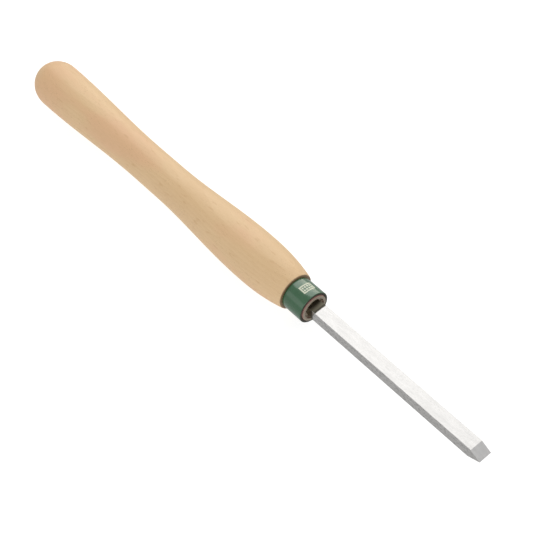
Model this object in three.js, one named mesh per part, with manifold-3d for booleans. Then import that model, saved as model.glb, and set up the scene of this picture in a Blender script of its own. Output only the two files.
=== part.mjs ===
// A woodturner's beading and parting tool. A square steel bar, ground to a straight two-bevel edge, ends in a
// tapered tang that is driven into a turned beech handle, and an enamelled steel ferrule binds the wood there.
//
// Millimetres. +X runs along the tool towards the cutting edge, the edge lies along Y, and +Z is up. The origin is
// halfway along the tool, under its axis, on the surface that the handle's belly lies on.

import * as THREE from "three";
import { mergeVertices } from "three/addons/utils/BufferGeometryUtils.js";
import Module from "manifold-3d";

const wasm = await Module();
wasm.setup();

// ---- Driving dimensions ----

const fitGap = 0.3; // between one piece and the next
const sides = 24; // flats round a turned piece: a multiple of 4, so that one faces straight down

const bar = {
  side: 9.5, // 3/8 in square stock
  reach: 149, // from the ferrule's face to the cutting edge
  upperBevel: 7.5, // lengths along X of the two ground bevels
  lowerBevel: 10,
};
const neck = { side: 9 }; // the bar is relieved a little where it enters the wood
const tang = { length: 54, rootSide: 7, endSide: 4.4 };

const ferrule = {
  length: 17.3,
  radius: 11.7,
  wall: 1.6,
  rimRound: 0.5, // outer corner of the front edge
};

// The handle's outline. Stations are distances back from the shoulder that the ferrule stops against.
const handle = {
  shoulder: { radius: 13.3 },
  belly: { radius: 17.7, station: 42, fullness: 2.37 },
  waist: { radius: 13.8, start: 131, end: 154 },
  hip: { radius: 17.4, station: 263 },
  dome: 18.5, // length of the rounded butt behind the hip
};
// The handle's tenon ends a little in front of the ferrule, with a chamfer round its end.
const nose = { proud: 0.9, chamfer: 0.8 };
// The stepped hole in the handle. The bar's neck stands in its wide, shallow mouth.
const bore = {
  mouthRadius: 7.7,
  mouthDepth: 3,
  clearance: 0.35, // beyond the tang's corners
  stepAt: 0.5, // share of the tang's length inside the middle diameter
  endSpare: 2, // below the end of the tang
  drillPoint: 1.5, // cone at the bottom
};

// ---- Positions along X ----

const overallLength = bar.reach + ferrule.length + handle.hip.station + handle.dome;
const edgeX = overallLength / 2;
const faceX = edgeX - bar.reach;
const shoulderX = faceX - ferrule.length;
const woodEndX = faceX + nose.proud;
const barRearX = woodEndX + fitGap;
const mouthEndX = woodEndX - bore.mouthDepth;
const neckRearX = mouthEndX + fitGap;
const tangEndX = neckRearX - tang.length;
const axisHeight = handle.belly.radius;

// ---- Shapes ----

// Turns an outline of [radius, x] points round the X axis. The corners of the polygon stand a little outside the
// true circle, so that its flats touch it.
function turned(outline) {
  const cornerFactor = 1 / Math.cos(Math.PI / sides);
  const points = outline.map(([radius, x]) => new THREE.Vector2(radius * cornerFactor, x));
  return new THREE.LatheGeometry(points, sides, Math.PI / sides).rotateZ(-Math.PI / 2);
}

// Evenly spaced values from 0 to 1, with both ends.
function steps(count) {
  return Array.from({ length: count + 1 }, (_, i) => i / count);
}

// Outline points from one station to another, both behind the shoulder, where blend goes from 0 to 1.
function stretch(from, to, fromRadius, toRadius, count, blend) {
  return steps(count).map((t) => [
    fromRadius + (toRadius - fromRadius) * blend(t),
    shoulderX - (from + (to - from) * t),
  ]);
}

const smoothBlend = (t) => (1 - Math.cos(Math.PI * t)) / 2;

function handleOutside() {
  const { shoulder, belly, waist, hip, dome } = handle;
  const butt = steps(7)
    .map((t) => (t * Math.PI) / 2)
    .map((angle) => [hip.radius * Math.sin(angle), shoulderX - hip.station - dome * Math.cos(angle)]);
  const back = stretch(hip.station, waist.end, hip.radius, waist.radius, 9, smoothBlend);
  const middle = stretch(waist.start, belly.station, waist.radius, belly.radius, 9, smoothBlend);
  const front = stretch(belly.station, 0, belly.radius, shoulder.radius, 8, (t) => t ** belly.fullness);
  return [...butt, ...back.slice(1), ...middle, ...front.slice(1)];
}

function handleGeometry() {
  const tenon = ferrule.radius - ferrule.wall - fitGap;
  const stepSide = tang.rootSide + (tang.endSide - tang.rootSide) * bore.stepAt;
  const wide = tang.rootSide * Math.SQRT1_2 + bore.clearance;
  const narrow = stepSide * Math.SQRT1_2 + bore.clearance;
  const stepX = neckRearX - tang.length * bore.stepAt;
  const bottomX = tangEndX - bore.endSpare;
  return turned([
    ...handleOutside(),
    [tenon, shoulderX],
    [tenon, woodEndX - nose.chamfer],
    [tenon - nose.chamfer, woodEndX],
    [bore.mouthRadius, woodEndX],
    [bore.mouthRadius, mouthEndX],
    [wide, mouthEndX],
    [wide, stepX],
    [narrow, stepX],
    [narrow, bottomX],
    [0, bottomX - bore.drillPoint],
  ]);
}

function ferruleGeometry() {
  const rearX = shoulderX + fitGap;
  const inside = ferrule.radius - ferrule.wall;
  const rim = steps(3)
    .map((t) => (t * Math.PI) / 2)
    .map((angle) => [
      ferrule.radius - ferrule.rimRound * (1 - Math.cos(angle)),
      faceX - ferrule.rimRound * (1 - Math.sin(angle)),
    ]);
  return turned([[inside, rearX], [ferrule.radius, rearX], ...rim, [inside, faceX], [inside, rearX]]);
}

// The bar's side view, extruded across its width.
function barGeometry() {
  const half = bar.side / 2;
  const outline = new THREE.Shape()
    .moveTo(barRearX, -half)
    .lineTo(edgeX - bar.lowerBevel, -half)
    .lineTo(edgeX, 0)
    .lineTo(edgeX - bar.upperBevel, half)
    .lineTo(barRearX, half)
    .closePath();
  return new THREE.ExtrudeGeometry(outline, { depth: bar.side, bevelEnabled: false })
    .translate(0, 0, -half)
    .rotateX(Math.PI / 2);
}

// A length of square section, maybe tapered, that reaches a little way into the steel in front of it, to join it.
function squareStem(frontX, rearX, frontSide, rearSide) {
  const bite = 1;
  const corner = Math.SQRT1_2;
  const length = frontX + bite - rearX;
  return new THREE.CylinderGeometry(frontSide * corner, rearSide * corner, length, 4)
    .rotateY(Math.PI / 4)
    .rotateZ(-Math.PI / 2)
    .translate(rearX + length / 2, 0, 0);
}

// ---- Joining ----

function toSolid(geometry) {
  const bare = geometry.clone().deleteAttribute("normal").deleteAttribute("uv");
  const merged = mergeVertices(bare, 1e-3);
  return new wasm.Manifold(
    new wasm.Mesh({
      numProp: 3,
      vertProperties: merged.attributes.position.array,
      triVerts: new Uint32Array(merged.index.array),
    }),
  );
}

function toGeometry(solid) {
  const mesh = solid.getMesh();
  const geometry = new THREE.BufferGeometry();
  geometry.setAttribute("position", new THREE.BufferAttribute(mesh.vertProperties, 3));
  geometry.setIndex(new THREE.BufferAttribute(mesh.triVerts, 1));
  geometry.computeVertexNormals();
  return geometry;
}

function bladeGeometry() {
  const neckStem = squareStem(barRearX, neckRearX, neck.side, neck.side);
  const tangStem = squareStem(neckRearX, tangEndX, tang.rootSide, tang.endSide);
  return toGeometry(toSolid(barGeometry()).add(toSolid(neckStem)).add(toSolid(tangStem)));
}

// ---- The tool ----

function piece(name, geometry, material) {
  const mesh = new THREE.Mesh(geometry, new THREE.MeshStandardMaterial(material));
  mesh.name = name;
  return mesh;
}

const tool = new THREE.Group();
tool.name = "beading_and_parting_tool";
tool.position.z = axisHeight;
tool.add(
  piece("handle", handleGeometry(), { color: 0xd2b28a, roughness: 0.55, metalness: 0 }),
  piece("ferrule", ferruleGeometry(), { color: 0x3f6a4f, roughness: 0.3, metalness: 0.2 }),
  piece("blade", bladeGeometry(), { color: 0xc6c6c4, roughness: 0.35, metalness: 1 }),
);

export default tool;
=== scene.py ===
"""A woodturner's beading and parting tool on a pale floor, in soft studio light.

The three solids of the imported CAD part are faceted, so each is replaced by a fine mesh in the same place:
a turned beech handle, a green enamelled ferrule and a ground steel blade. Their ends and outer sizes are
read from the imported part, and the sizes in between are named below. A plain printed panel lies on the
ferrule.

Metres throughout. +X runs along the tool towards its cutting edge, the edge lies along Y, and +Z is up.
"""

import math

import bmesh
import bpy
from mathutils import Matrix, Vector


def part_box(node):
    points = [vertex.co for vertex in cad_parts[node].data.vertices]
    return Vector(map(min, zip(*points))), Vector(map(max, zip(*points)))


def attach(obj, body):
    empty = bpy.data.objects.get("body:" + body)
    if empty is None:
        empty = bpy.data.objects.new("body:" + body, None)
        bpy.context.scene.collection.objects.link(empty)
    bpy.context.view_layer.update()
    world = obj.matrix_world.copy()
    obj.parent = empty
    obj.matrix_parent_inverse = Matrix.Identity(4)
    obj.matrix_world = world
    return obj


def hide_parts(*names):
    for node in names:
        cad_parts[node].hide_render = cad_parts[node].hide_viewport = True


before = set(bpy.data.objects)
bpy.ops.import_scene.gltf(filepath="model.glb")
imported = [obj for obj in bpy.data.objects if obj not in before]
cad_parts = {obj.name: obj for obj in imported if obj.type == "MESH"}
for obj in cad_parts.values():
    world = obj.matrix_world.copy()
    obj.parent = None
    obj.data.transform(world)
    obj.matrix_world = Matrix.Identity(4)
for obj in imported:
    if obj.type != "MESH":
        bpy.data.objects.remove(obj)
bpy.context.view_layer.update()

MM = 0.001

# ---- Places and outer sizes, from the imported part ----

handle_low, handle_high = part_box("handle")
ferrule_low, ferrule_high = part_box("ferrule")
blade_low, blade_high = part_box("blade")

FIT_GAP = 0.3 * MM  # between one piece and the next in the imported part
AXIS_Z = (blade_low.z + blade_high.z) / 2
EDGE_X = blade_high.x  # the cutting edge
FACE_X = ferrule_high.x  # the ferrule's front
SHOULDER_X = ferrule_low.x - FIT_GAP  # the face on the wood that the ferrule stops against
WOOD_END_X = handle_high.x
BUTT_X = handle_low.x
TANG_END_X = blade_low.x

# ---- Sizes of the handle ----

# Its outline. Stations are distances back from the shoulder.
BELLY_RADIUS = (handle_high.y - handle_low.y) / 2
BELLY_STATION = 42 * MM
BELLY_FULLNESS = 2.37
SHOULDER_RADIUS = 13.3 * MM
SHOULDER_ROUND = 0.5 * MM
SHOULDER_ROUND_START = 78  # degrees, where the belly's slope runs into the shoulder's round corner
WAIST_RADIUS = 13.8 * MM
WAIST_START = 131 * MM
WAIST_END = 154 * MM
HIP_RADIUS = 17.4 * MM
HIP_STATION = 263 * MM
DOME_LENGTH = SHOULDER_X - HIP_STATION - BUTT_X
NOSE_ROUND = 0.8 * MM  # round the front end of the tenon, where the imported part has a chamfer

# The stepped hole.
HOLE_MOUTH_RADIUS = 7.7 * MM
HOLE_MOUTH_DEPTH = 3 * MM
HOLE_MOUTH_END_X = WOOD_END_X - HOLE_MOUTH_DEPTH
HOLE_EDGE_ROUND = 0.3 * MM
HOLE_WIDE_RADIUS = 5.30 * MM
HOLE_NARROW_RADIUS = 4.38 * MM
HOLE_END_SPARE = 2 * MM  # below the end of the tang
DRILL_POINT = 1.5 * MM  # length of the cone at the bottom

# ---- Sizes of the ferrule and its print ----

FERRULE_RADIUS = (ferrule_high.y - ferrule_low.y) / 2
FERRULE_WALL = 1.6 * MM
FERRULE_FRONT_ROUND = 0.5 * MM
FERRULE_EDGE_ROUND = 0.25 * MM
FERRULE_RINGS = (6 * MM, 12 * MM)  # rings along its outside, which keep its shading level
DARK_INSIDE_DEPTH = 0.3 * MM  # the dark finish, painted shade on the inside, starts this far under the outside
DARK_FRONT_DEPTH = 0.12 * MM  # and reaches this far back from the front

PRINT_SETBACK = 8.2 * MM  # from the ferrule's front to the panel's middle
PRINT_ANGLE = math.radians(77)  # of the panel's middle, from +Y towards +Z
PRINT_HALF_LENGTH = 3.1 * MM
PRINT_HALF_ANGLE = math.radians(23)
PRINT_LINE = 0.95 * MM
PRINT_THICKNESS = 0.03 * MM
PRINT_LINE_CELLS = 12
PRINT_DIAMOND_CELLS = 6
DIAMOND_COLUMNS = 2
DIAMOND_ROWS = 4
# Shares of the panel's length and angle: what the diamonds' grid covers, and what the diamonds add up to.
DIAMOND_GRID = (0.68, 0.8)
DIAMOND_SIZE = (0.62, 0.74)

# ---- Sizes of the blade ----

BAR_SIDE = blade_high.y - blade_low.y
BAR_REAR_X = WOOD_END_X + FIT_GAP
UPPER_BEVEL = 7.5 * MM
LOWER_BEVEL = 10 * MM
NECK_SIDE = 9 * MM
NECK_REAR_X = HOLE_MOUTH_END_X + FIT_GAP
TANG_ROOT_SIDE = 7 * MM
TANG_END_SIDE = 4.4 * MM
EDGE_EASE = 0.22 * MM  # rounding of the long edges of the bar and the tang
EASE_STEPS = 3
LONG_EDGE = 20 * MM  # an edge that runs further than this along the tool is a long one
TOP_ROOT_LENGTH = 6.8 * MM  # of the painted reflection and shade of the ferrule's front on the bar, on top and below
SIDE_ROOT_LENGTH = 4.2 * MM  # and on the sides

# ---- How fine the meshes are ----

TURNED_SIDES = 128
BUTT_STEPS = 32
CURVE_STEPS = 48  # of each long curve between the hip, the waist and the belly
FRONT_STEPS = 36  # of the curve from the belly to the shoulder
CORNER_STEPS = 5
SMALL_CORNER_STEPS = 3
SHARP_ANGLE = math.radians(34)  # a corner sharper than this keeps a crisp edge

# ---- Camera, lights and floor ----

CAMERA_TARGET_SETBACK = 195 * MM  # from the cutting edge to the point that the camera looks at
CAMERA_AZIMUTH = 55.65
CAMERA_ELEVATION = 52.24
CAMERA_ROLL = -8.03
CAMERA_DISTANCE = 0.909
CAMERA_LENS = 94.56  # millimetres, like the sensor's width
CAMERA_SENSOR = 36
CAMERA_NEAREST = 0.01

LIGHTS_TARGET_X = 40 * MM
ROOM_STRENGTH = 0.5

FLOOR_HALF_SIDE = 4
FLOOR_CELLS = 8
FLOOR_DROP = 0.05 * MM  # below the handle's belly
FLOOR_GLOW = 0.78


# ---- Mesh helpers ----

# Directions on an outline, in degrees.
FORWARD = 0
OUTWARD = 90
BACKWARD = 180
INWARD = 270

SQUARE_CORNERS = ((-1, -1), (1, -1), (1, 1), (-1, 1))  # in order round a square


def steps(count):
    """Evenly spaced values from 0 to 1, with both ends."""
    return [i / count for i in range(count + 1)]


def smooth_blend(t):
    return (1 - math.cos(math.pi * t)) / 2


def belly_blend(t):
    """Stays flat over the belly, and steepens towards the shoulder."""
    return t ** BELLY_FULLNESS


def rounded_corner(centre_x, centre_radius, radius, from_angle, to_angle, count=CORNER_STEPS):
    """Outline points of a round corner, which takes the shorter way from one direction to the other."""
    turn = (to_angle - from_angle + 180) % 360 - 180
    angles = [math.radians(from_angle + turn * t) for t in steps(count)]
    return [(centre_x + radius * math.cos(a), centre_radius + radius * math.sin(a)) for a in angles]


def link_new(name, data):
    item = bpy.data.objects.new(name, data)
    bpy.context.scene.collection.objects.link(item)
    return item


def new_piece(name, bm, materials, smooth=False):
    """Makes an object of a mesh. A smooth one keeps crisp edges only at its sharp corners."""
    bmesh.ops.recalc_face_normals(bm, faces=bm.faces)
    if smooth:
        for face in bm.faces:
            face.smooth = True
        for edge in bm.edges:
            edge.smooth = edge.calc_face_angle() < SHARP_ANGLE
    mesh = bpy.data.meshes.new(name)
    bm.to_mesh(mesh)
    bm.free()
    for material in materials:
        mesh.materials.append(material)
    return link_new(name, mesh)


def ring_of_points(bm, x, radius):
    """Points round the tool's axis, or only one where the radius is 0."""
    count = TURNED_SIDES if radius > 0 else 1
    angles = [2 * math.pi * i / TURNED_SIDES for i in range(count)]
    return [bm.verts.new((x, radius * math.cos(a), AXIS_Z + radius * math.sin(a))) for a in angles]


def turned(name, outline, materials):
    """Turns an outline of (x, radius) points round the tool's axis. Ends that aren't on it join up."""
    bm = bmesh.new()
    rings = [ring_of_points(bm, x, radius) for x, radius in outline]
    starts_on_axis = len(rings[0]) == 1
    next_rings = rings[1:] if starts_on_axis else rings[1:] + rings[:1]
    for ring, following in zip(rings, next_rings):
        for i in range(TURNED_SIDES):
            j = i + 1
            corners = [ring[i % len(ring)], ring[j % len(ring)],
                       following[j % len(following)], following[i % len(following)]]
            bm.faces.new(list(dict.fromkeys(corners)))  # a point on the axis is two corners of its triangle
    return new_piece(name, bm, materials, smooth=True)


# ---- Material helpers ----

class Graph:
    """A material and the nodes that it is made of. An input given as a socket is linked, any other is set."""

    def __init__(self, name):
        self.material = bpy.data.materials.new(name)
        self.material.use_nodes = True
        self.tree = self.material.node_tree
        self.shader = self.tree.nodes["Principled BSDF"]

    def fill(self, node, inputs):
        for key, value in inputs.items():
            if isinstance(value, bpy.types.NodeSocket):
                self.tree.links.new(value, node.inputs[key])
            else:
                node.inputs[key].default_value = value

    def add(self, kind, inputs, output=0, **settings):
        node = self.tree.nodes.new(kind)
        for key, value in settings.items():
            setattr(node, key, value)
        self.fill(node, inputs)
        return node.outputs[output]

    def here(self):
        """The surface's own coordinates, in metres."""
        return self.add("ShaderNodeTexCoord", {}, output="Object")

    def along(self):
        """How far along the tool the surface is."""
        return self.add("ShaderNodeSeparateXYZ", {"Vector": self.here()}, output="X")

    def place(self, scale, offset=(0, 0, 0)):
        """The surface's own coordinates, stretched by scale and then shifted by offset."""
        return self.add("ShaderNodeMapping", {"Vector": self.here(), "Location": offset, "Scale": scale})

    def noise(self, scale, detail=4.0, roughness=0.5, distortion=0.0, offset=(0, 0, 0)):
        """Noise with about as many features in a metre of each axis as scale says. An offset moves them."""
        inputs = {"Vector": self.place(scale, offset), "Scale": 1.0, "Detail": detail,
                  "Roughness": roughness, "Distortion": distortion}
        return self.add("ShaderNodeTexNoise", inputs)

    def ramp(self, value, low, high, to_low=0.0, to_high=1.0):
        """Goes smoothly from to_low to to_high while the value goes from low to high."""
        inputs = {"Value": value, "From Min": low, "From Max": high, "To Min": to_low, "To Max": to_high}
        return self.add("ShaderNodeMapRange", inputs, interpolation_type="SMOOTHSTEP")

    def math(self, operation, first, second):
        return self.add("ShaderNodeMath", {0: first, 1: second}, operation=operation)

    def frayed(self, value, scale, depth):
        """The value with noise of up to depth added, so that a border drawn by it is ragged."""
        ragged = self.noise(scale=(scale, scale, scale), detail=3.0)
        return self.math("ADD", value, self.math("MULTIPLY", ragged, depth))

    def mix(self, share, first, second):
        """Mixes two colours, all first where the share is 0 and all second where it is 1."""
        node = self.tree.nodes.new("ShaderNodeMix")
        node.data_type = "RGBA"
        first_colour, second_colour, result = 6, 7, 2  # the sockets of a Mix node that hold colours
        self.fill(node, {0: share, first_colour: first, second_colour: second})
        return node.outputs[result]

    def lay(self, tone, over, pattern, low, high, strength=1.0):
        """Lays a colour over a tone where a pattern is high, up to the given strength."""
        return self.mix(self.ramp(pattern, low, high, to_high=strength), tone, over)

    def bump(self, height, distance, strength, under=None):
        inputs = {"Height": height, "Distance": distance, "Strength": strength}
        if under is not None:
            inputs["Normal"] = under
        return self.add("ShaderNodeBump", inputs)

    def finish(self, **inputs):
        """Sets the shader's inputs. Underscores stand for the spaces in their names."""
        self.fill(self.shader, {key.replace("_", " "): value for key, value in inputs.items()})
        return self.material


def colour(red, green, blue):
    return (red, green, blue, 1.0)


def steel_grey(brightness):
    """A very slightly warm grey."""
    green_share = 0.982
    blue_share = 0.958
    return colour(brightness, brightness * green_share, brightness * blue_share)


# ---- The wood ----

def growth_rings(g):
    """Rings round a pith that lies beside the handle. They change slowly and bend a little along it."""
    ring_pitch = 2.6 * MM
    wave_length = 2 * math.pi / 20  # of a wave texture whose scale is 1
    change_along = 0.02
    pith_offset = (0, 31 * MM, 52 * MM)
    widest_bend = (0, 4 * MM, 4 * MM)
    from_pith = g.place(scale=(change_along, 1, 1), offset=pith_offset)
    bend = g.noise(scale=(9, 60, 60), detail=2.0)
    wander = g.add("ShaderNodeVectorMath", {0: widest_bend, 3: bend}, operation="SCALE")
    ring_place = g.add("ShaderNodeVectorMath", {0: from_pith, 1: wander}, operation="ADD")
    inputs = {"Vector": ring_place, "Scale": wave_length / ring_pitch, "Distortion": 0.0}
    return g.add("ShaderNodeTexWave", inputs, output="Fac",
                 wave_type="RINGS", rings_direction="X", wave_profile="SAW")


def wood_rays(g):
    """Short dark rays, which come in patches."""
    rays = g.noise(scale=(520, 4200, 4200), detail=1.0, roughness=0.4, offset=(0.1, 0.7, 0))
    patches = g.noise(scale=(28, 90, 90), detail=2.0, offset=(0.9, 0, 0))
    return g.math("MULTIPLY", g.ramp(rays, low=0.665, high=0.72), g.ramp(patches, low=0.42, high=0.62))


def sanded_wood(g, fibres, rays):
    """The lacquered outside: rings, pink and deep patches, fibres, rays and small flecks."""
    pale = colour(0.775, 0.545, 0.305)
    deep = colour(0.67, 0.44, 0.225)
    pink = colour(0.775, 0.475, 0.275)
    ray_brown = colour(0.36, 0.20, 0.09)
    fleck_brown = colour(0.56, 0.32, 0.14)
    ray_strength = 0.55
    warmth = g.noise(scale=(11, 40, 40), detail=2.0, offset=(0.5, 0, 0.3))
    blotches = g.noise(scale=(16, 55, 55), detail=2.0, offset=(0, 0.2, 0.1))
    fine_fibres = g.noise(scale=(420, 9000, 9000), detail=3.0, offset=(0.3, 0, 0))
    flecks = g.noise(scale=(110, 420, 420), detail=3.0, offset=(0.2, 0.1, 0.8))
    tone = g.lay(pale, deep, growth_rings(g), low=0.15, high=1.0, strength=0.24)
    tone = g.lay(tone, pink, warmth, low=0.42, high=0.60, strength=0.8)
    tone = g.lay(tone, deep, blotches, low=0.35, high=0.7, strength=0.28)
    tone = g.lay(tone, deep, fibres, low=0.44, high=0.68, strength=0.38)
    tone = g.lay(tone, ray_brown, fine_fibres, low=0.5, high=0.72, strength=0.16)
    tone = g.mix(g.math("MULTIPLY", rays, ray_strength), tone, ray_brown)
    return g.lay(tone, fleck_brown, flecks, low=0.60, high=0.74, strength=0.38)


def scorch_and_painted_shade(g, tone, fibres):
    """Darkens the shoulder's edge and face, where the ferrule was driven on: a scorch line, and
    painted shade of the gap between the wood and the ferrule.
    """
    # these colours are partly scorch and partly painted shade of the gap at the ferrule
    dark_char_and_shade = colour(0.15, 0.092, 0.045)
    light_char_and_shade = colour(0.26, 0.165, 0.085)
    border = g.frayed(g.along(), scale=900, depth=0.35 * MM)
    char_and_shade = g.lay(dark_char_and_shade, light_char_and_shade, fibres, low=0.3, high=0.7)
    return g.lay(tone, char_and_shade, border, low=SHOULDER_X - 0.5 * MM, high=SHOULDER_X + 0.3 * MM)


def end_grain_with_painted_shade(g):
    """Raw wood: beige on the tenon's front, pinkish on the round corner behind it, and pale further back.
    The beige and pinkish are the end grain's own colour, darkened further by painted shade of the ferrule's
    mouth.
    """
    # beige and pinkish are darker than the end grain itself: painted shade of the recess they lie in
    beige = colour(0.31, 0.265, 0.20)
    pinkish = colour(0.36, 0.17, 0.145)
    pale = colour(0.62, 0.53, 0.42)
    pore_brown = colour(0.19, 0.125, 0.08)
    along = g.along()
    pores = g.noise(scale=(5200, 5200, 5200), detail=4.0)
    front = g.lay(pinkish, beige, along, low=WOOD_END_X - 0.6 * MM, high=WOOD_END_X - 0.05 * MM)
    tone = g.lay(pale, front, along, low=WOOD_END_X - 1.6 * MM, high=WOOD_END_X - 0.9 * MM)
    return g.lay(tone, pore_brown, pores, low=0.45, high=0.62, strength=0.5)


def beech():
    """Pale lacquered beech, scorched and with painted shade at the shoulder, and raw in front of it."""
    g = Graph("lacquered_beech")
    fibres = g.noise(scale=(130, 3200, 3200), detail=5.0, roughness=0.62)
    rays = wood_rays(g)
    # the shoulder's darkening is partly painted shade of the gap at the ferrule
    tone = scorch_and_painted_shade(g, sanded_wood(g, fibres, rays), fibres)
    tone = g.lay(tone, end_grain_with_painted_shade(g), g.along(), low=SHOULDER_X + 1 * MM, high=SHOULDER_X + 2 * MM)
    ray_depth = -0.6  # against the height of the fibres
    height = g.math("ADD", fibres, g.math("MULTIPLY", rays, ray_depth))
    relief = g.bump(height, distance=0.02 * MM, strength=0.5)
    roughness = g.ramp(fibres, low=0.3, high=0.7, to_low=0.40, to_high=0.52)
    return g.finish(Base_Color=tone, Roughness=roughness, Normal=relief, Coat_Weight=0.1, Coat_Roughness=0.35)


# ---- The ferrule's finishes ----

def enamel():
    """Glossy mid-green stove enamel with a faint orange-peel surface, dark specks and a drifting tone."""
    g = Graph("green_enamel")
    darker = colour(0.022, 0.098, 0.037)
    lighter = colour(0.030, 0.116, 0.048)
    speck_green = colour(0.013, 0.056, 0.022)
    drift = g.noise(scale=(60, 90, 90), detail=3.0)
    specks = g.noise(scale=(2400, 2400, 2400), detail=2.0, offset=(0.2, 0, 0))
    peel = g.noise(scale=(700, 700, 700), detail=2.0)
    smears = g.noise(scale=(200, 420, 420), detail=3.0, offset=(0, 0.4, 0))
    tone = g.lay(darker, lighter, drift, low=0.35, high=0.65)
    tone = g.lay(tone, speck_green, specks, low=0.6, high=0.75, strength=0.35)
    relief = g.bump(peel, distance=0.015 * MM, strength=0.6)
    roughness = g.ramp(smears, low=0.35, high=0.7, to_low=0.20, to_high=0.32)
    return g.finish(Base_Color=tone, Roughness=roughness, Normal=relief, Coat_Weight=1.0, Coat_Roughness=0.12)


def dark_rim_and_painted_shade():
    """The ferrule's front edge and inside: steel gone dark under thin enamel at the edge, and painted shade
    inside.
    """
    g = Graph("dark_rim")
    # the inside wall's near-black is painted shade of the tube
    dark = colour(0.035, 0.036, 0.027)
    worn = colour(0.075, 0.068, 0.05)
    wear = g.noise(scale=(900, 900, 900), detail=4.0, offset=(0.3, 0.1, 0))
    tone = g.lay(dark, worn, wear, low=0.4, high=0.65)
    relief = g.bump(wear, distance=0.02 * MM, strength=0.5)
    roughness = g.ramp(wear, low=0.3, high=0.7, to_low=0.42, to_high=0.6)
    return g.finish(Base_Color=tone, Metallic=0.3, Roughness=roughness, Normal=relief)


def ink():
    """Cream ink printed on the enamel, slightly broken where it didn't cover."""
    g = Graph("cream_ink")
    cream = colour(0.66, 0.68, 0.53)
    thin_green = colour(0.26, 0.36, 0.25)
    cover = g.noise(scale=(1500, 1500, 1500), detail=3.0)
    tone = g.lay(cream, thin_green, cover, low=0.56, high=0.7, strength=0.6)
    relief = g.bump(cover, distance=0.01 * MM, strength=0.5)
    roughness = g.ramp(cover, low=0.3, high=0.7, to_low=0.4, to_high=0.55)
    return g.finish(Base_Color=tone, Roughness=roughness, Normal=relief)


# ---- The steel ----

def painted_root_reflection(g, brightness, end_x):
    """Painted reflection and shade of the ferrule's front on the bar's root, with a darker line at its end,
    and where they stop.
    """
    dark = colour(0.11 * brightness, 0.10 * brightness, 0.074 * brightness)
    darker = colour(0.058 * brightness, 0.054 * brightness, 0.042 * brightness)
    border = g.frayed(g.along(), scale=500, depth=0.8 * MM)
    tone = g.lay(dark, darker, border, low=end_x - 1.6 * MM, high=end_x - 0.9 * MM)
    past_reflection = g.ramp(border, low=end_x, high=end_x + 0.6 * MM)
    return tone, past_reflection


def bar_steel(name, shade, streaks, cloudiness, root_length):
    """Steel with fine grinding marks along the bar, slow waves from hand polishing, and a painted reflection
    and shade of the ferrule's front at its root. The shade multiplies the finish's brightness, and its square
    multiplies the root's: painted light, which makes the sides lighter, since less light falls on them."""
    g = Graph(name)
    marks = g.noise(scale=(60, 6000, 6000), detail=5.0, roughness=0.65)
    cloud = g.noise(scale=(90, 260, 260), detail=4.0, offset=(0.4, 0, 0))
    mottle = g.noise(scale=(600, 1000, 1000), detail=5.0, roughness=0.65, distortion=0.6, offset=(0, 0, 0.4))
    waves = g.noise(scale=(14, 40, 40), detail=1.0)
    bright = steel_grey(0.47 * shade)
    softer = steel_grey(0.435 * shade)
    streak_grey = steel_grey(0.38 * shade)
    mottle_grey = steel_grey(0.26 * shade)
    tone = g.lay(bright, softer, cloud, low=0.3, high=0.7)
    tone = g.lay(tone, streak_grey, marks, low=0.5, high=0.75, strength=streaks)
    tone = g.lay(tone, mottle_grey, mottle, low=0.46, high=0.64, strength=cloudiness)
    # painted reflection and shade of the ferrule at the root, made lighter by the shade's square where less
    # light falls
    root, past_reflection = painted_root_reflection(g, brightness=shade ** 2, end_x=FACE_X + root_length)
    tone = g.mix(past_reflection, root, tone)

    root_roughness = 0.25  # more than the steel's past the painted reflection
    polish = g.ramp(marks, low=0.3, high=0.75, to_low=0.12, to_high=0.20)
    in_reflection = g.math("SUBTRACT", 1.0, past_reflection)
    roughness = g.math("ADD", polish, g.math("MULTIPLY", in_reflection, root_roughness))
    relief = g.bump(waves, distance=0.12 * MM, strength=0.25)
    relief = g.bump(marks, distance=0.006 * MM, strength=0.6, under=relief)
    return g.finish(Base_Color=tone, Metallic=1.0, Roughness=roughness, Normal=relief)


def bevel_steel():
    """The ground bevels: brighter steel with a grindstone's marks, which run down each bevel to the edge."""
    g = Graph("bevel_steel")
    bright = colour(0.60, 0.592, 0.585)
    softer = colour(0.54, 0.535, 0.53)
    mark_grey = colour(0.45, 0.445, 0.44)
    marks = g.noise(scale=(160, 4200, 300), detail=5.0, roughness=0.6)
    cloud = g.noise(scale=(260, 260, 260), detail=3.0, offset=(0.4, 0, 0))
    tone = g.lay(bright, softer, cloud, low=0.3, high=0.7)
    tone = g.lay(tone, mark_grey, marks, low=0.45, high=0.75, strength=0.6)
    relief = g.bump(marks, distance=0.008 * MM, strength=0.6)
    roughness = g.ramp(marks, low=0.3, high=0.7, to_low=0.28, to_high=0.42)
    return g.finish(Base_Color=tone, Metallic=1.0, Roughness=roughness, Normal=relief)


# ---- The handle ----

def stretch(from_station, to_station, from_radius, to_radius, count, blend):
    """Outline points from one station to another, where blend goes from 0 to 1."""
    return [(SHOULDER_X - (from_station + (to_station - from_station) * t),
             from_radius + (to_radius - from_radius) * blend(t)) for t in steps(count)]


def handle_outside():
    """Outline points of the handle from the middle of the butt to the shoulder's round corner."""
    hip_x = SHOULDER_X - HIP_STATION
    angles = [math.pi / 2 * t for t in steps(BUTT_STEPS)[1:]]
    butt = [(hip_x - DOME_LENGTH * math.cos(a), HIP_RADIUS * math.sin(a)) for a in angles]
    back = stretch(HIP_STATION, WAIST_END, HIP_RADIUS, WAIST_RADIUS, CURVE_STEPS, smooth_blend)
    middle = stretch(WAIST_START, BELLY_STATION, WAIST_RADIUS, BELLY_RADIUS, CURVE_STEPS, smooth_blend)
    front = stretch(BELLY_STATION, 0, BELLY_RADIUS, SHOULDER_RADIUS, FRONT_STEPS, belly_blend)
    front = [(x, radius) for x, radius in front if x < SHOULDER_X - SHOULDER_ROUND]
    return [(BUTT_X, 0), *butt, *back[1:], *middle, *front[1:]]


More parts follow.
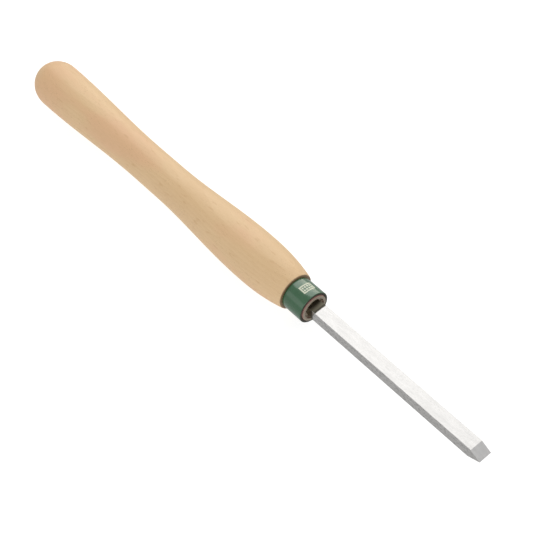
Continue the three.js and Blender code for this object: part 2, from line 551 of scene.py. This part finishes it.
def handle_piece():
    """The handle, with its tenon inside the ferrule and its stepped hole."""
    tenon_radius = FERRULE_RADIUS - FERRULE_WALL - FIT_GAP
    step_x = (NECK_REAR_X + TANG_END_X) / 2
    bottom_x = TANG_END_X - HOLE_END_SPARE
    shoulder = rounded_corner(SHOULDER_X - SHOULDER_ROUND, SHOULDER_RADIUS - SHOULDER_ROUND, SHOULDER_ROUND,
                              SHOULDER_ROUND_START, FORWARD)
    nose = rounded_corner(WOOD_END_X - NOSE_ROUND, tenon_radius - NOSE_ROUND, NOSE_ROUND, OUTWARD, FORWARD)
    hole_edge = rounded_corner(WOOD_END_X - HOLE_EDGE_ROUND, HOLE_MOUTH_RADIUS + HOLE_EDGE_ROUND,
                               HOLE_EDGE_ROUND, FORWARD, INWARD)
    outline = [
        *handle_outside(),
        *shoulder,
        (SHOULDER_X, tenon_radius),
        *nose,
        *hole_edge,
        (HOLE_MOUTH_END_X, HOLE_MOUTH_RADIUS),
        (HOLE_MOUTH_END_X, HOLE_WIDE_RADIUS),
        (step_x, HOLE_WIDE_RADIUS),
        (step_x, HOLE_NARROW_RADIUS),
        (bottom_x, HOLE_NARROW_RADIUS),
        (bottom_x - DRILL_POINT, 0),
    ]
    return turned("turned_handle", outline, [beech()])


# ---- The ferrule ----

def ferrule_piece():
    """An open tube with eased edges, enamelled outside, with dark steel at its front and painted shade
    inside.
    """
    rear_x = ferrule_low.x
    inside = FERRULE_RADIUS - FERRULE_WALL
    ease = FERRULE_EDGE_ROUND
    front = FERRULE_FRONT_ROUND
    outline = [
        *rounded_corner(rear_x + ease, inside + ease, ease, INWARD, BACKWARD, SMALL_CORNER_STEPS),
        *rounded_corner(rear_x + ease, FERRULE_RADIUS - ease, ease, BACKWARD, OUTWARD, SMALL_CORNER_STEPS),
        *[(rear_x + distance, FERRULE_RADIUS) for distance in FERRULE_RINGS],
        *rounded_corner(FACE_X - front, FERRULE_RADIUS - front, front, OUTWARD, FORWARD),
        *rounded_corner(FACE_X - ease, inside + ease, ease, FORWARD, INWARD, SMALL_CORNER_STEPS),
    ]
    piece = turned("green_ferrule", outline, [enamel(), dark_rim_and_painted_shade()])
    dark_finish = 1  # the place of the dark finish, with its painted shade, in that list
    for face in piece.data.polygons:
        off_axis = math.hypot(face.center.y, face.center.z - AXIS_Z)
        if off_axis < FERRULE_RADIUS - DARK_INSIDE_DEPTH or face.center.x > FACE_X - DARK_FRONT_DEPTH:
            face.material_index = dark_finish
    return piece


# ---- The print on the ferrule ----

def wrapped_patch(bm, corners, rows, columns):
    """A patch between four corners of (x, angle) on the ferrule's surface, as a grid of small faces."""
    radius = FERRULE_RADIUS + PRINT_THICKNESS
    grid = []
    for s in steps(rows):
        row = []
        for t in steps(columns):
            weights = ((1 - s) * (1 - t), s * (1 - t), s * t, (1 - s) * t)
            x = sum(weight * corner[0] for weight, corner in zip(weights, corners))
            angle = sum(weight * corner[1] for weight, corner in zip(weights, corners))
            row.append(bm.verts.new((x, radius * math.cos(angle), AXIS_Z + radius * math.sin(angle))))
        grid.append(row)
    for row, next_row in zip(grid, grid[1:]):
        for j in range(columns):
            bm.faces.new([row[j], next_row[j], next_row[j + 1], row[j + 1]])


def panel_place(u, v, inset=0.0):
    """A place of (x, angle) on the panel, with u and v from -1 to 1 across it. Insets are in line widths."""
    half_length = PRINT_HALF_LENGTH - inset * PRINT_LINE
    half_angle = PRINT_HALF_ANGLE - inset * PRINT_LINE / FERRULE_RADIUS
    return (FACE_X - PRINT_SETBACK + u * half_length, PRINT_ANGLE + v * half_angle)


def panel_frame(bm):
    for corner, next_corner in zip(SQUARE_CORNERS, SQUARE_CORNERS[1:] + SQUARE_CORNERS[:1]):
        outer = [panel_place(*corner), panel_place(*next_corner)]
        inner = [panel_place(*next_corner, inset=1), panel_place(*corner, inset=1)]
        wrapped_patch(bm, outer + inner, rows=PRINT_LINE_CELLS, columns=1)


def panel_diamonds(bm):
    reach_u = DIAMOND_SIZE[0] / DIAMOND_COLUMNS
    reach_v = DIAMOND_SIZE[1] / DIAMOND_ROWS
    for i in range(DIAMOND_COLUMNS):
        u = ((2 * i + 1) / DIAMOND_COLUMNS - 1) * DIAMOND_GRID[0]
        for j in range(DIAMOND_ROWS):
            v = ((2 * j + 1) / DIAMOND_ROWS - 1) * DIAMOND_GRID[1]
            corners = [panel_place(u - reach_u, v), panel_place(u, v - reach_v),
                       panel_place(u + reach_u, v), panel_place(u, v + reach_v)]
            wrapped_patch(bm, corners, rows=PRINT_DIAMOND_CELLS, columns=PRINT_DIAMOND_CELLS)


def print_piece():
    """A plain frame round two lines of four diamonds, printed in ink."""
    bm = bmesh.new()
    panel_frame(bm)
    panel_diamonds(bm)
    piece = new_piece("ferrule_panel", bm, [ink()])
    inwards = -1.0
    thickness = piece.modifiers.new("ink_thickness", "SOLIDIFY")
    thickness.thickness = PRINT_THICKNESS
    thickness.offset = inwards
    return piece


# ---- The blade ----

def square_frame(bm, x, side):
    half = side / 2
    return [bm.verts.new((x, y * half, AXIS_Z + z * half)) for y, z in SQUARE_CORNERS]


def skin(bm, ring, following):
    """Joins two frames of four points with four faces."""
    for i in range(len(ring)):
        j = (i + 1) % len(ring)
        bm.faces.new([ring[i], ring[j], following[j], following[i]])


def blade_piece():
    """A square bar with two ground bevels. Its neck and tapered tang are in the handle's hole."""
    top_and_bottom, bevels, sides = range(3)  # places in the list of finishes
    finishes = [
        bar_steel("polished_steel", shade=1.0, streaks=0.28, cloudiness=0.12, root_length=TOP_ROOT_LENGTH),
        bevel_steel(),
        # the sides' copy of the steel is painted lighter by its shade, since less light falls on them:
        # painted light
        bar_steel("mottled_side_steel_painted_light", shade=1.62, streaks=0.5, cloudiness=0.9, root_length=SIDE_ROOT_LENGTH),
    ]
    bm = bmesh.new()
    stem = [(TANG_END_X, TANG_END_SIDE), (NECK_REAR_X, TANG_ROOT_SIDE), (NECK_REAR_X, NECK_SIDE),
            (BAR_REAR_X, NECK_SIDE), (BAR_REAR_X, BAR_SIDE)]
    frames = [square_frame(bm, x, side) for x, side in stem]
    bm.faces.new(frames[0])
    for ring, following in zip(frames, frames[1:]):
        skin(bm, ring, following)

    half = BAR_SIDE / 2
    heel = [bm.verts.new((EDGE_X - (LOWER_BEVEL if z < 0 else UPPER_BEVEL), y * half, AXIS_Z + z * half))
            for y, z in SQUARE_CORNERS]
    skin(bm, frames[-1], heel)
    near, far = [bm.verts.new((EDGE_X, y * half, AXIS_Z)) for y in (-1, 1)]
    lower_bevel = bm.faces.new([heel[0], heel[1], far, near])
    upper_bevel = bm.faces.new([heel[2], heel[3], near, far])
    bm.faces.new([heel[1], heel[2], far])
    bm.faces.new([heel[3], heel[0], near])

    nearly_sideways = 0.9  # share of a face's normal that is along Y
    for face in bm.faces:
        face.normal_update()
        if face in (lower_bevel, upper_bevel):
            face.material_index = bevels
        elif abs(face.normal.y) > nearly_sideways:
            face.material_index = sides
        else:
            face.material_index = top_and_bottom
    weights = bm.edges.layers.float.new("bevel_weight_edge")
    for edge in bm.edges:
        run = abs(edge.verts[0].co.x - edge.verts[1].co.x)
        edge[weights] = 1.0 if run > LONG_EDGE else 0.0

    piece = new_piece("square_blade", bm, finishes)
    easing = piece.modifiers.new("eased_edges", "BEVEL")
    easing.limit_method = "WEIGHT"
    easing.width = EDGE_EASE
    easing.segments = EASE_STEPS
    easing.use_clamp_overlap = True
    easing.harden_normals = True
    return piece


# ---- The studio ----

def aim(item, place, target, roll=0.0):
    """Points an object's -Z axis at a target, then rolls it round that axis."""
    turn = (target - place).to_track_quat("-Z", "Y").to_matrix().to_4x4()
    item.matrix_world = Matrix.Translation(place) @ turn @ Matrix.Rotation(roll, 4, "Z")


def from_angles(azimuth, elevation):
    """The direction towards an azimuth and elevation in degrees. Azimuth 0 is along -Y, and 90 along +X."""
    a = math.radians(azimuth)
    e = math.radians(elevation)
    return Vector((math.sin(a) * math.cos(e), -math.cos(a) * math.cos(e), math.sin(e)))


def camera():
    data = bpy.data.cameras.new("camera")
    data.lens = CAMERA_LENS
    data.sensor_width = CAMERA_SENSOR
    data.clip_start = CAMERA_NEAREST
    item = link_new("camera", data)
    target = Vector((EDGE_X - CAMERA_TARGET_SETBACK, 0, AXIS_Z))
    place = target + from_angles(CAMERA_AZIMUTH, CAMERA_ELEVATION) * CAMERA_DISTANCE
    aim(item, place, target, math.radians(CAMERA_ROLL))
    bpy.context.scene.camera = item


def softbox(name, direction, distance, width, height, radiance, tint=(1, 1, 1)):
    """A rectangular light whose surface has the given radiance, aimed just in front of the tool's middle."""
    target = Vector((LIGHTS_TARGET_X, 0, AXIS_Z))
    data = bpy.data.lights.new(name, "AREA")
    data.shape = "RECTANGLE"
    data.size = width
    data.size_y = height
    data.energy = radiance * math.pi * width * height
    data.color = tint
    item = link_new(name, data)
    aim(item, target + Vector(direction).normalized() * distance, target)


def floor():
    """A matt floor, which glows so brightly that it comes out pure white under the lights."""
    g = Graph("pale_floor")
    lighter = colour(0.46, 0.46, 0.46)
    darker = colour(0.44, 0.44, 0.44)
    grain = g.noise(scale=(40, 40, 40), detail=2.0)
    tone = g.lay(lighter, darker, grain, low=0.3, high=0.7)
    material = g.finish(Base_Color=tone, Roughness=0.9, Specular_IOR_Level=0.1,
                        Emission_Color=colour(1, 1, 1), Emission_Strength=FLOOR_GLOW)
    bm = bmesh.new()
    bmesh.ops.create_grid(bm, x_segments=FLOOR_CELLS, y_segments=FLOOR_CELLS, size=FLOOR_HALF_SIDE)
    item = new_piece("floor", bm, [material])
    item.location.z = -FLOOR_DROP
    item.visible_glossy = False  # the tool's gloss shows the dimmer room, not the bright floor


def room():
    """A dim white world, seen in the gloss of the tool."""
    world = bpy.data.worlds.new("studio")
    bpy.context.scene.world = world
    world.use_nodes = True
    background = world.node_tree.nodes["Background"]
    background.inputs["Color"].default_value = colour(1, 1, 1)
    background.inputs["Strength"].default_value = ROOM_STRENGTH


def softboxes():
    softbox("top_softbox", direction=(-0.506, 0.50, 0.79), distance=1.6, width=1.5, height=1.1, radiance=1.64)
    softbox("near_softbox", direction=(-0.3, -0.85, 0.42), distance=1.8, width=1.6, height=0.9, radiance=0.45)
    softbox("far_softbox", direction=(-0.48, 0.80, 0.30), distance=1.8, width=1.4, height=0.8, radiance=1.9,
            tint=(1.0, 0.96, 0.88))
    softbox("front_softbox", direction=(0.50, 0.35, 0.80), distance=1.8, width=1.0, height=0.9, radiance=1.0)
    softbox("fill_softbox", direction=(0.45, -0.55, 0.70), distance=1.8, width=1.0, height=0.9, radiance=1.6)


# ---- Assembly ----

camera()
room()
softboxes()
floor()
bpy.context.scene.view_settings.view_transform = "Standard"

for make, node, slot in ((handle_piece, "handle", "handle_wood"),
                         (ferrule_piece, "ferrule", "ferrule_enamel"),
                         (blade_piece, "blade", "blade_steel")):
    piece = make()
    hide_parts(node)
    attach(piece, "root")
panel = print_piece()
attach(panel, "root")
